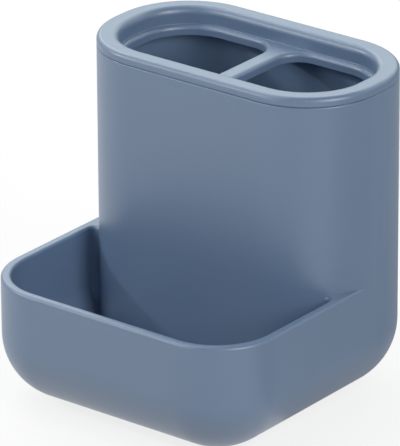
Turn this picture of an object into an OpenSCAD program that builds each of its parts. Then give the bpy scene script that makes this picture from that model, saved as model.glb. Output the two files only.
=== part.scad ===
// Toothbrush holder for a bathroom counter.
// A rolled, one-piece body carries a tall tower at the back and an open tray in front of it.
// A lid insert drops into the tower's mouth, and four soft pads sit in the underside.
// The front is towards -Y, and the pads stand on z = 0.

/* [Overall] */
// Width from side to side
overall_w = 102; // [92:1:124]
// Depth from the front of the tray to the back of the tower
overall_d = 103; // [94:1:130]
// Height from the underside of the body to the top of the lid
stand_h = 106.6; // [80:0.2:140]

/* [Tower] */
// Depth of the tower from front to back
tower_d = 56.5; // [53:0.5:66]
// Radius of the tower's upright corners
tower_corner_r = 26; // [23:0.25:28]

/* [Tray] */
// Height of the tray's rim above the underside
rim_h = 40.8; // [32:0.2:60]
// Radius of the tray's two front corners
tray_corner_r = 22.4; // [22:0.2:28]
// Rounding of the rim's two edges
rim_round = 1.1; // [0.4:0.1:1.5]
// Radius of the fillet where the tray's side wall runs into the tower
crevice_r = 2; // [1:0.25:3]
// Radius of the cove between the tray's floor and the tower
cove_r = 4; // [1:0.5:8]

/* [Moulding] */
// Thickness of the body's walls and floor
wall = 3.35; // [2.2:0.05:4]
// Radius of the roll between the walls and the underside
bottom_r = 21.7; // [10:0.1:22]
// Rounding of the two edges that make the seam under the lid
seam_round = 0.5; // [0.2:0.05:0.8]

/* [Lid] */
// Height of the band that shows above the seam
lid_band = 3.1; // [2.4:0.1:4.5]
// Rounding of the lid's outer top edge
lid_edge_r = 1.6; // [0.6:0.1:1.8]
// Thickness of the lid's sunk wall
sunk_wall = 3.5; // [2.4:0.1:4]
// Thickness of the lid's sunk floor
lid_sheet = 3.1; // [2.4:0.1:3.6]
// Clearance between the lid's sunk wall and the tower's mouth
lid_gap = 0.3; // [0.2:0.05:0.6]
// Depth of the lid's sunk floor below its top
recess_h = 5.7; // [4:0.1:16]
// Rounding of the ring's inner top edge
ring_inner_r = 2.3; // [0.6:0.1:2.6]
// Fillet between the sunk wall and the sunk floor
recess_fillet = 0.2; // [0.1:0.1:1]
// Width of the flat strip between that fillet and the rounding of an opening's edge
ledge_flat = 0.1; // [0.1:0.1:3]
// Width of the bar between the two openings
bar_w = 6.2; // [5:0.1:9]
// Radius of an opening's corners beside the bar
bar_corner_r = 8.5; // [3:0.5:10]
// Rounding of an opening's upper edge
opening_round = 1.4; // [0.4:0.1:1.8]
// Rounding of the sunk wall's lower edge, which leads it into the mouth
lead_in_r = 1; // [0.5:0.1:1.5]

/* [Foot pads] */
// Diameter of a pad
pad_d = 10; // [6:0.5:12]
// Thickness of a pad
pad_t = 1.8; // [1.2:0.1:2.4]
// Height of the body above the surface it stands on
pad_proud = 0.8; // [0.5:0.1:1]
// Clearance round a pad in its recess
pad_gap = 0.15; // [0.1:0.05:0.3]
// Distance from a pad to the edge of the flat underside
pad_margin = 2; // [1:0.25:4]
// Rounding of a pad's lower edge
pad_round = 0.5; // [0.2:0.1:0.6]

/* [Hidden] */
$fn = 96;

// Colours
body_colour = [0.39, 0.46, 0.54];
lid_colour = [0.43, 0.5, 0.58];
pad_colour = [0.2, 0.21, 0.22];

// How far every cut runs past the face it opens
overrun = 1;

// Levels
under_z = pad_proud;
floor_z = under_z + wall;
rim_z = under_z + rim_h;
top_z = under_z + stand_h;
seam_z = top_z - lid_band;
recess_z = top_z - recess_h;
plug_z = recess_z - lid_sheet;

// Outline
half_w = overall_w / 2;
front_y = -overall_d / 2;
back_y = overall_d / 2;
tower_front_y = back_y - tower_d;
// Where the tower's front corners become tangent to the body's sides
tangent_y = tower_front_y + tower_corner_r;
tower_mid_y = back_y - tower_d / 2;
inner_half_w = half_w - wall;
inner_roll_r = bottom_r - wall;

// Fillet between the tray's side wall and the tower's round corner
tower_centre_x = half_w - tower_corner_r;
crevice_x = inner_half_w - crevice_r;
crevice_dx = crevice_x - tower_centre_x;
crevice_dy = sqrt((tower_corner_r + crevice_r) ^ 2 - crevice_dx ^ 2);
crevice_y = tangent_y - crevice_dy;
crevice_turn = 90 + atan2(crevice_dx, crevice_dy);

// Lid
ring_w = wall + lid_gap + sunk_wall;
opening_inset = ring_w + recess_fillet + ledge_flat + opening_round;
opening_half_x = (half_w - opening_inset - bar_w / 2) / 2;
opening_half_y = tower_d / 2 - opening_inset;
opening_mid_x = bar_w / 2 + opening_half_x;

// Foot pads
pad_x = half_w - bottom_r - pad_margin - pad_d / 2;
pad_front_y = front_y + bottom_r + pad_margin + pad_d / 2;
pad_back_y = back_y - bottom_r - pad_margin - pad_d / 2;

// Draws its children on both sides of the middle plane.
module both_sides() {
    for (side = [0, 1])
        mirror([side, 0, 0]) children();
}

// What is taken off a square corner to round it. The corner is at the origin,
// with the solid on its left and above it.
module corner_waste(r) {
    difference() {
        translate([-r, -overrun]) square([r + overrun, r + overrun]);
        translate([-r, r]) circle(r);
    }
}

// What is left in a square inner corner to fillet it. The corner is at the origin,
// with open space on its right and above it.
module corner_fillet(r) {
    difference() {
        square(r);
        translate([r, r]) circle(r);
    }
}

// Section of a solid from its inside, at x = 0, to its side, at x = $reach.
// Both corners of the side can be rounded.
module solid_edge(low, high, low_r, high_r) {
    difference() {
        translate([0, low]) square([$reach, high - low]);
        if (low_r > 0)
            translate([$reach, low]) corner_waste(low_r);
        if (high_r > 0)
            translate([$reach, high]) mirror([0, 1]) corner_waste(high_r);
    }
}

// Section of a hollow out to its side wall, with a rolled floor and a lip that flares
// out to round the wall's upper edge.
module hollow_edge(low, high, low_r, lip_r) {
    solid_edge(low, high + overrun, low_r, 0);
    if (lip_r > 0)
        lip_flare(high, lip_r);
}

// The part of a hollow that rounds the upper edge of its wall.
module lip_flare(high, lip_r) {
    translate([$reach, high - lip_r])
        difference() {
            square([lip_r, lip_r + overrun]);
            translate([lip_r, 0]) circle(lip_r);
        }
}

// Section of a column that stands on a floor with a cove round its foot.
module column_edge(low, high, foot_r) {
    solid_edge(low, high, 0, 0);
    translate([$reach, low]) corner_fillet(foot_r);
}

// A straight run of an edge section along a side, from y = 0 to y = length.
module side_run(half_x, length) {
    let ($reach = half_x)
        translate([0, length, 0])
            rotate([90, 0, 0]) linear_extrude(length) children();
}

// A quarter of a block with rounded plan: its side, its corner and its end,
// each swept from the same edge section. A corner as deep as the quarter leaves no side.
module quarter(half_x, half_y, corner_r) {
    if (half_y > corner_r)
        side_run(half_x, half_y - corner_r) children();
    let ($reach = corner_r) {
        translate([half_x - corner_r, half_y - corner_r, 0])
            rotate_extrude(angle = 90) children();
        translate([0, half_y - corner_r, 0])
            rotate([90, 0, 90]) linear_extrude(half_x - corner_r) children();
    }
}

// The back half and the front half of the tower's plan, drawn in by an inset.
module tower_back(inset) {
    both_sides()
        translate([0, tangent_y, 0])
            quarter(half_w - inset, back_y - tangent_y - inset, tower_corner_r - inset)
                children();
}

module tower_front(inset) {
    both_sides()
        translate([0, tangent_y, 0]) mirror([0, 1, 0])
            quarter(half_w - inset, tower_corner_r - inset, tower_corner_r - inset)
                children();
}

// The front half of the base's plan, from the tray's front to a given depth.
module tray_front(inset, end_y) {
    both_sides()
        translate([0, end_y, 0]) mirror([0, 1, 0])
            quarter(half_w - inset, end_y - front_y - inset, tray_corner_r - inset)
                children();
}

// Outside of the body: the rolled base under the tray and the tower, and the tower itself.
module body_outside() {
    tray_front(0, tangent_y) solid_edge(under_z, rim_z, bottom_r, rim_round);
    tower_back(0) solid_edge(under_z, seam_z, bottom_r, seam_round);
    tower_front(0) solid_edge(under_z + bottom_r, seam_z, 0, seam_round);
}

// Inside of the tower: its walls follow the outside, and its front wall parts it from the tray.
module tower_hollow() {
    tower_back(wall) hollow_edge(floor_z, seam_z, inner_roll_r, seam_round);
    intersection() {
        tower_front(wall) hollow_edge(floor_z, seam_z, cove_r, 0);
        both_sides()
            translate([0, tower_front_y, 0])
                side_run(inner_half_w, tower_corner_r)
                    hollow_edge(floor_z, seam_z, inner_roll_r, 0);
    }
    // The mouth's rounded upper edge goes on round the front half.
    tower_front(wall) lip_flare(seam_z, seam_round);
}

// Plan of one of the tray's narrow ends, where its side wall runs into the tower's
// corner: what the corner leaves of a triangle, and the round end of the crevice.
module tray_end_plan() {
    difference() {
        polygon([
            [tower_centre_x, crevice_y],
            [crevice_x, crevice_y],
            [tower_centre_x, tangent_y],
        ]);
        translate([tower_centre_x, tangent_y]) circle(tower_corner_r);
    }
    translate([crevice_x, crevice_y]) circle(crevice_r);
}

// Inside of the tray, which the tower's front wall closes at the back.
module tray_hollow() {
    difference() {
        tray_front(wall, crevice_y) hollow_edge(floor_z, rim_z, inner_roll_r, rim_round);
        tower_front(0) column_edge(floor_z, seam_z, cove_r);
    }
    both_sides() {
        intersection() {
            translate([0, 0, floor_z])
                linear_extrude(rim_z - floor_z + overrun) tray_end_plan();
            translate([0, crevice_y, 0])
                side_run(inner_half_w, crevice_dy)
                    hollow_edge(floor_z, rim_z, inner_roll_r, 0);
        }
        crevice_lip();
    }
}

// The rim's rounded inner edge, carried round the crevice until it meets the tower.
module crevice_lip() {
    difference() {
        translate([crevice_x, crevice_y, 0])
            rotate_extrude(angle = crevice_turn)
                let ($reach = crevice_r) lip_flare(rim_z, rim_round);
        translate([tower_centre_x, tangent_y, floor_z])
            cylinder(h = seam_z - floor_z, r = tower_corner_r);
    }
}

// Puts its children at the place of the pad on one side, -1 or 1.
module pad_place(side, y) {
    translate([side * pad_x, y, 0]) children();
}

// One moulding: base, tray and tower, with a shallow seat for each pad in the underside.
module body() {
    color(body_colour)
        difference() {
            body_outside();
            tower_hollow();
            tray_hollow();
            for (side = [-1, 1], y = [pad_front_y, pad_back_y])
                pad_place(side, y)
                    cylinder(h = pad_t, d = pad_d + 2 * pad_gap);
        }
}

// The whole of the tower's plan, drawn in by an inset.
module tower_block(inset) {
    tower_back(inset) children();
    tower_front(inset) children();
}

// One opening in the lid. Its outer corners run round with the tower's,
// and the two beside the bar are tighter.
module lid_opening() {
    outer_r = tower_corner_r - opening_inset;
    translate([opening_mid_x, tower_mid_y, 0])
        for (flip = [0, 1])
            mirror([0, flip, 0]) {
                quarter(opening_half_x, opening_half_y, outer_r) children();
                mirror([1, 0, 0])
                    quarter(opening_half_x, opening_half_y, bar_corner_r) children();
            }
}

// The insert that closes the tower: a ring that rests on the tower's top, a wall that drops
// into its mouth, and a sunk floor with two openings parted by a bar.
module lid_insert() {
    color(lid_colour)
        difference() {
            union() {
                tower_block(0) solid_edge(seam_z, top_z, seam_round, lid_edge_r);
                tower_block(wall + lid_gap)
                    solid_edge(plug_z, seam_z + lid_band / 2, lead_in_r, 0);
            }
            tower_block(ring_w) hollow_edge(recess_z, top_z, recess_fillet, ring_inner_r);
            both_sides()
                lid_opening() hollow_edge(plug_z - overrun, recess_z, 0, opening_round);
        }
}

// A soft disc that stands in its recess and carries the holder.
module pad(side, y) {
    color(pad_colour)
        pad_place(side, y)
            rotate_extrude()
                let ($reach = pad_d / 2) solid_edge(0, pad_t, pad_round, 0);
}

body();
lid_insert();
pad(-1, pad_front_y);  // pad_front_left
pad(1, pad_front_y);  // pad_front_right
pad(-1, pad_back_y);  // pad_back_left
pad(1, pad_back_y);  // pad_back_right
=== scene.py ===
# %% [markdown]
# # A moulded toothbrush holder
# The holder is two plastic mouldings and four soft pads: a body with an open tray in front of
# a tall tower, and a lid insert that drops into the tower's mouth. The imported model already
# has the shapes, so this lesson is about making plain plastic look like plastic: its colour,
# its fine moulded grain, and the light that shows its large round edges. Nothing is moved
# after that.

# %% Load the frame
import math
import bpy
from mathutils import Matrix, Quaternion, Vector

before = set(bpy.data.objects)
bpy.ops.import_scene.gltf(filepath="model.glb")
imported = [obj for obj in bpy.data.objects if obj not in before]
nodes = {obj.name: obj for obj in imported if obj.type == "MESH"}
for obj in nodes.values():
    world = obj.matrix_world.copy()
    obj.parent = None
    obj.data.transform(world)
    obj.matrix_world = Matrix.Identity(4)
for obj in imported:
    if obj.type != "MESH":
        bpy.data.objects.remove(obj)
scene = bpy.context.scene
scene.view_settings.view_transform = "Standard"
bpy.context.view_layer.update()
print("nodes:", ", ".join(sorted(nodes)))

# %% [markdown]
# ## The camera
# The photograph was taken from the front right and a little above, with a long lens from far
# away, so the holder's upright edges stay almost parallel. The camera turns about a point in
# the middle of the holder, and is then aimed a little above it, as the photograph is framed.
# A wide lens from nearby could fill the frame as well, but it would spread the tower's sides.

# %% Camera
MM = 0.001
VIEW_AZIMUTH = math.radians(38.04)
VIEW_ELEVATION = math.radians(23.18)
VIEW_DISTANCE = 1680.8 * MM
VIEW_ROLL = math.radians(-0.34)
LENS_MM = 434.9
TARGET = Vector((0.0, 0.5, 51.8)) * MM
AIM_RIGHT = -0.90 * MM
AIM_UP = 3.78 * MM
SIGHT_END = 10.0


def view_axes(azimuth, elevation):
    """Back, right and up of a camera that looks along +Y at azimuth 0 and moves to +X from there."""
    back = Vector((
        math.sin(azimuth) * math.cos(elevation),
        -math.cos(azimuth) * math.cos(elevation),
        math.sin(elevation),
    ))
    right = Vector((math.cos(azimuth), math.sin(azimuth), 0.0))
    return back, right, back.cross(right)


def add_camera():
    """A camera at the photograph's place, aimed so that the holder is framed as there."""
    back, right, up = view_axes(VIEW_AZIMUTH, VIEW_ELEVATION)
    camera = bpy.data.objects.new("camera", bpy.data.cameras.new("camera"))
    scene.collection.objects.link(camera)
    place = TARGET + back * VIEW_DISTANCE
    look = TARGET + right * AIM_RIGHT + up * AIM_UP - place
    camera.location = place
    turn = look.to_track_quat("-Z", "Y") @ Quaternion((0.0, 0.0, 1.0), VIEW_ROLL)
    camera.rotation_euler = turn.to_euler()
    camera.data.lens = LENS_MM
    camera.data.clip_end = SIGHT_END
    scene.camera = camera
    return camera


camera = add_camera()
print("camera at", [round(v, 3) for v in camera.location])

# %% [markdown]
# ## Shader arithmetic
# A material is a graph of nodes, and plain sums in it are tedious to wire by hand. One small
# class wraps a node's output, so that an expression such as 1 - mask * 0.5 adds its own Math
# nodes. Every other kind of node comes from one method, which sets the node's settings first
# and then gives each input a value or a link.

# %% Wires
class Wire:
    """One output of a node. Arithmetic on wires adds Math nodes to their tree."""

    def __init__(self, tree, socket=None):
        self.tree = tree
        self.socket = socket

    def plug(self, target):
        self.tree.links.new(self.socket, target)

    def node(self, kind, settings=None, inputs=None, output=0):
        """Adds a node: its settings first, then a value or a wire for each input."""
        made = self.tree.nodes.new(kind)
        for name, value in (settings or {}).items():
            setattr(made, name, value)
        for name, value in (inputs or {}).items():
            if isinstance(value, Wire):
                value.plug(made.inputs[name])
            else:
                made.inputs[name].default_value = value
        return Wire(self.tree, made.outputs[output])

    def maths(self, operation, *values):
        return self.node("ShaderNodeMath", {"operation": operation}, dict(enumerate(values)))

    def __add__(self, other):
        return self.maths("ADD", self, other)

    def __sub__(self, other):
        return self.maths("SUBTRACT", self, other)

    def __rsub__(self, other):
        return self.maths("SUBTRACT", other, self)

    def __mul__(self, other):
        return self.maths("MULTIPLY", self, other)

    def larger(self, other):
        return self.maths("MAXIMUM", self, other)

    def size(self):
        return self.maths("ABSOLUTE", self)

    __radd__ = __add__
    __rmul__ = __mul__


def blend_colours(wire, factor, low, high):
    """A colour that goes from low to high with the factor."""
    sockets = {"Factor": factor, "A": low, "B": high}
    made = wire.tree.nodes.new("ShaderNodeMix")
    made.data_type = "RGBA"
    shown = {socket.name: socket for socket in made.inputs if socket.enabled}
    for name, value in sockets.items():
        if isinstance(value, Wire):
            value.plug(shown[name])
        else:
            shown[name].default_value = value
    return Wire(wire.tree, next(socket for socket in made.outputs if socket.enabled))


def ramp(wire, low, high, start, end):
    """Goes smoothly from start to end as the wire goes from low to high."""
    return wire.node("ShaderNodeMapRange", {"interpolation_type": "SMOOTHSTEP"}, {
        "Value": wire,
        "From Min": low,
        "From Max": high,
        "To Min": start,
        "To Max": end,
    })


def object_place(wire):
    """The x, y and z of a point on the piece, in metres."""
    place = wire.node("ShaderNodeTexCoord", output="Object")
    return [
        wire.node("ShaderNodeSeparateXYZ", inputs={"Vector": place}, output=name) for name in "XYZ"
    ]


def ray_kinds(tree):
    """Masks for rays that see a thing straight or through glass, and for rays off a gloss."""
    start = Wire(tree)
    names = ("Is Camera Ray", "Is Transmission Ray", "Is Glossy Ray")
    from_camera, through_glass, off_gloss = (
        start.node("ShaderNodeLightPath", output=name) for name in names
    )
    return from_camera.larger(through_glass), off_gloss


# %% [markdown]
# ## The studio
# The photograph shows no lamps. Their places are worked out from its shading. Their levels
# come from fits to it and were then trimmed, so they are one likely set and not the real one.
# Soft boxes stand all round: strong ones at the right, the front left, high on the left and
# behind, and weaker ones between them. One small key at the left draws the curved shadow that
# the tray's left wall throws on the tower. The wide box behind the holder is the one that the
# lid's ring and the tray's rim mirror at a flat angle, which turns them pale. It is tinted
# slightly green, as those edges are.
# The boxes stand on a circle about the holder. A box's brightness says how bright its face is,
# where 1 is a white card in full light; its watts follow from that and its area, because a
# lit face gives pi times its brightness times its area.
# The world fills the shadows a little. The camera sees it white, and the plastic mirrors it
# as walls at a quarter of white, which darken towards the top.

# %% World and lamps
AIM = Vector((0.0, 0.0, 50.0)) * MM
LAMP_DISTANCE = 1.0
WORLD_LEVEL = 0.12
WALLS_IN_GLOSS = 0.25
BACK_TINT = (0.93, 1.0, 0.96)
WALLS_TOP_LOW = 0.5
WALLS_TOP_HIGH = 0.75
# name: azimuth from the front and elevation in degrees, width and height in metres, brightness
LAMPS = {
    "back_box": (-150, 36, 0.95, 0.75, 2.0),
    "back_left_box": (-118, 30, 0.35, 0.7, 1.85),
    "left_box": (-92, 30, 0.55, 0.8, 0.5),
    "left_high_box": (-90, 66, 0.6, 0.3, 2.8),
    "left_key": (-60, 27.5, 0.06, 0.06, 190.0),
    "front_left_box": (-29, 35, 0.5, 0.45, 3.55),
    "low_front_box": (-20, 8, 0.5, 0.22, 1.4),
    "front_right_box": (41, 34, 0.42, 0.42, 0.8),
    "right_box": (76, 28, 0.45, 0.55, 6.4),
    "back_right_box": (150, 34, 0.8, 0.6, 0.9),
}


def softbox(name, azimuth, elevation, width, height, brightness):
    """A rectangular area light on the circle of lamps, facing the holder, unseen by the camera."""
    data = bpy.data.lights.new(name, "AREA")
    data.shape = "RECTANGLE"
    data.size = width
    data.size_y = height
    data.energy = math.pi * brightness * width * height
    lamp = bpy.data.objects.new(name, data)
    scene.collection.objects.link(lamp)
    away = view_axes(math.radians(azimuth), math.radians(elevation))[0]
    lamp.location = AIM + away * LAMP_DISTANCE
    lamp.rotation_euler = away.to_track_quat("Z", "Y").to_euler()
    lamp.visible_camera = False


for name, values in LAMPS.items():
    softbox(name, *values)
bpy.data.lights["back_box"].color = BACK_TINT

world = bpy.data.worlds.new("white_tent")
scene.world = world
world.use_nodes = True
tree = world.node_tree
straight, glossy = ray_kinds(tree)
direction = Wire(tree).node("ShaderNodeTexCoord", output="Generated")
height = direction.node("ShaderNodeSeparateXYZ", inputs={"Vector": direction}, output="Z")
walls = ramp(height, WALLS_TOP_LOW, WALLS_TOP_HIGH, WALLS_IN_GLOSS, WORLD_LEVEL)
background = tree.nodes["Background"]
background.inputs["Color"].default_value = (1.0, 1.0, 1.0, 1.0)
seen = straight.larger(glossy * walls)
seen.larger(WORLD_LEVEL).plug(background.inputs["Strength"])
print("lamps:", ", ".join(LAMPS), "and a world at", WORLD_LEVEL)

# %% [markdown]
# ## The floor
# The photograph's ground is white. Whitening a floor with more light would burn out the
# holder, so for the camera the floor round the holder is four parts glow at strength 1 and one
# part painted surface, which still takes the holder's soft shadow. Further out it is all
# glow, so no horizon shows. Other rays meet a mid grey, which keeps the light that comes up
# under the holder low. The plastic mirrors the whole glow at the front and the left. At the
# right and the back it mirrors a part of it close to the holder, which lights the rolled
# lower edge, and none further out, because the photograph's holder seems to mirror something
# darker there. What that was isn't seen.

# %% Floor
FLOOR_HALF = 3.0
FLOOR_SEEN = (0.9, 0.9, 0.9, 1.0)
FLOOR_BOUNCE = (0.45, 0.45, 0.45, 1.0)
GLOW_NEAR = 0.8
GLOW_FAR = 1.0
GLOW_RISES_FROM = 150.0 * MM
GLOW_RISES_TO = 700.0 * MM
MIRRORED_MIDDLE = math.radians(-20.0)
MIRRORED_FULL = math.radians(92.0)
MIRRORED_NONE = math.radians(108.0)
MIRRORED_CLOSE = 0.45
MIRRORED_NEAR = 70.0 * MM
MIRRORED_FAR = 105.0 * MM

floor_mesh = bpy.data.meshes.new("floor")
signs = ((-1, -1), (1, -1), (1, 1), (-1, 1))
floor_corners = [(x * FLOOR_HALF, y * FLOOR_HALF, 0.0) for x, y in signs]
floor_mesh.from_pydata(floor_corners, [], [(0, 1, 2, 3)])
floor = bpy.data.objects.new("floor", floor_mesh)
scene.collection.objects.link(floor)

sweep = bpy.data.materials.new("white_sweep")
sweep.use_nodes = True
tree = sweep.node_tree
tree.nodes.clear()
start = Wire(tree)
straight, glossy = ray_kinds(tree)
x, y = object_place(start)[:2]
azimuth = x.maths("ARCTAN2", x, y * -1.0)
turned = azimuth.maths("WRAP", azimuth - MIRRORED_MIDDLE, math.pi, -math.pi)
distance = x.maths("SQRT", x * x + y * y)
mirrored = ramp(turned.size(), MIRRORED_FULL, MIRRORED_NONE, 1.0, 0.0).larger(
    ramp(distance, MIRRORED_NEAR, MIRRORED_FAR, MIRRORED_CLOSE, 0.0)
)
seen_glow = straight * ramp(distance, GLOW_RISES_FROM, GLOW_RISES_TO, GLOW_NEAR, GLOW_FAR)
paint = start.node("ShaderNodeBsdfDiffuse", inputs={
    "Color": blend_colours(start, straight, FLOOR_BOUNCE, FLOOR_SEEN),
})
glow = start.node("ShaderNodeEmission", inputs={"Color": (1.0, 1.0, 1.0, 1.0), "Strength": 1.0})
surface = start.node("ShaderNodeMixShader", inputs={
    0: seen_glow.larger(glossy * mirrored),
    1: paint,
    2: glow,
})
output = tree.nodes.new("ShaderNodeOutputMaterial")
surface.plug(output.inputs["Surface"])
floor.data.materials.append(sweep)
print("floor:", 2 * FLOOR_HALF, "m square, glow", GLOW_NEAR, "to", GLOW_FAR)

# %% [markdown]
# ## Satin moulded plastic
# The body and the lid are mouldings in one slate blue plastic with a satin gloss, so one
# colour serves them inside and out. The photograph is too small to show a grain. Such
# mouldings mostly have a fine one from a blasted mould, so a grain of about a third of a
# millimetre is a guess: too fine to see as a pattern, but enough to spread every highlight.
# The faint clouds of pigment, a few centimetres wide, are a guess of the same kind.
# The grain could be modelled, but it is thousandths of a millimetre deep, so a bump does it
# better than any mesh. The specular level is twice the usual one, because the pale sheen on
# the photograph's tower is stronger than the usual level gives.

# %% Plastic
PLASTIC_PALE = (0.141, 0.214, 0.334, 1.0)
PLASTIC_DEEP = (0.129, 0.200, 0.316, 1.0)
CLOUD_SIZE = 25.0 * MM
GRAIN_SIZE = 0.32 * MM
GRAIN_DEPTH = 0.006 * MM
ROUGH_LEAST = 0.35
ROUGH_SPREAD = 0.06
CLOUD_DETAIL = 2.0
GRAIN_DETAIL = 2.0
GRAIN_ROUGHNESS = 0.6
GRAIN_STRENGTH = 0.3
PLASTIC_SPECULAR = 1.0


def fixed(shader, values):
    """Sets the sockets that are the same all over a surface."""
    for name, value in values.items():
        shader.inputs[name].default_value = value


def noise(wire, size, detail, roughness=0.5):
    """Cloudy noise on Object coordinates, with blotches of about the given size in metres."""
    place = wire.node("ShaderNodeTexCoord", output="Object")
    return wire.node("ShaderNodeTexNoise", inputs={
        "Vector": place,
        "Scale": 1.0 / size,
        "Detail": detail,
        "Roughness": roughness,
    })


def moulded_plastic(name):
    """Satin plastic: faint clouds of pigment, a fine grain and a slightly uneven gloss."""
    material = bpy.data.materials.new(name)
    material.use_nodes = True
    shader = material.node_tree.nodes["Principled BSDF"]
    start = Wire(material.node_tree)
    clouds = noise(start, CLOUD_SIZE, CLOUD_DETAIL)
    grain = noise(start, GRAIN_SIZE, GRAIN_DETAIL, GRAIN_ROUGHNESS)
    blend_colours(start, clouds, PLASTIC_DEEP, PLASTIC_PALE).plug(shader.inputs["Base Color"])
    (ROUGH_LEAST + clouds * ROUGH_SPREAD).plug(shader.inputs["Roughness"])
    bump = start.node("ShaderNodeBump", inputs={
        "Strength": GRAIN_STRENGTH,
        "Distance": GRAIN_DEPTH,
        "Height": grain,
    })
    bump.plug(shader.inputs["Normal"])
    fixed(shader, {"Specular IOR Level": PLASTIC_SPECULAR})
    return material


for node_name, finish in (("body", "body_plastic"), ("lid_insert", "lid_plastic")):
    nodes[node_name].material_slots[0].material = moulded_plastic(finish)
    print(node_name, "wears", finish)

# %% [markdown]
# ## Rubber pads
# The underside isn't seen. Such holders stand on soft pads, so four rubber discs and their
# finish are a guess. Rubber is dark, hardly glossy and a little mottled, with fine dust in its
# pores. Two noises are enough: a coarse one that greys the colour, and a fine one for the
# pores.

# %% Pads
RUBBER_DARK = (0.022, 0.023, 0.025, 1.0)
RUBBER_DUSTY = (0.050, 0.052, 0.055, 1.0)
MOTTLE_SIZE = 1.6 * MM
PORE_SIZE = 0.2 * MM
PORE_DEPTH = 0.02 * MM
MOTTLE_DETAIL = 3.0
PORE_DETAIL = 1.0
PORE_STRENGTH = 0.5
RUBBER_ROUGH_LEAST = 0.7
RUBBER_ROUGH_SPREAD = 0.2
RUBBER_SPECULAR = 0.3


def soft_rubber(name):
    """Dull rubber: mottled dark grey, pores as a bump, rougher where dust lies."""
    material = bpy.data.materials.new(name)
    material.use_nodes = True
    shader = material.node_tree.nodes["Principled BSDF"]
    start = Wire(material.node_tree)
    dust = noise(start, MOTTLE_SIZE, MOTTLE_DETAIL)
    pores = noise(start, PORE_SIZE, PORE_DETAIL)
    blend_colours(start, dust, RUBBER_DARK, RUBBER_DUSTY).plug(shader.inputs["Base Color"])
    (RUBBER_ROUGH_LEAST + dust * RUBBER_ROUGH_SPREAD).plug(shader.inputs["Roughness"])
    bump = start.node("ShaderNodeBump", inputs={
        "Strength": PORE_STRENGTH,
        "Distance": PORE_DEPTH,
        "Height": pores,
    })
    bump.plug(shader.inputs["Normal"])
    fixed(shader, {"Specular IOR Level": RUBBER_SPECULAR})
    return material


rubber = soft_rubber("pad_rubber")
pads = [name for name in sorted(nodes) if name.startswith("pad_")]
for name in pads:
    nodes[name].material_slots[0].material = rubber
print("rubber on", ", ".join(pads))
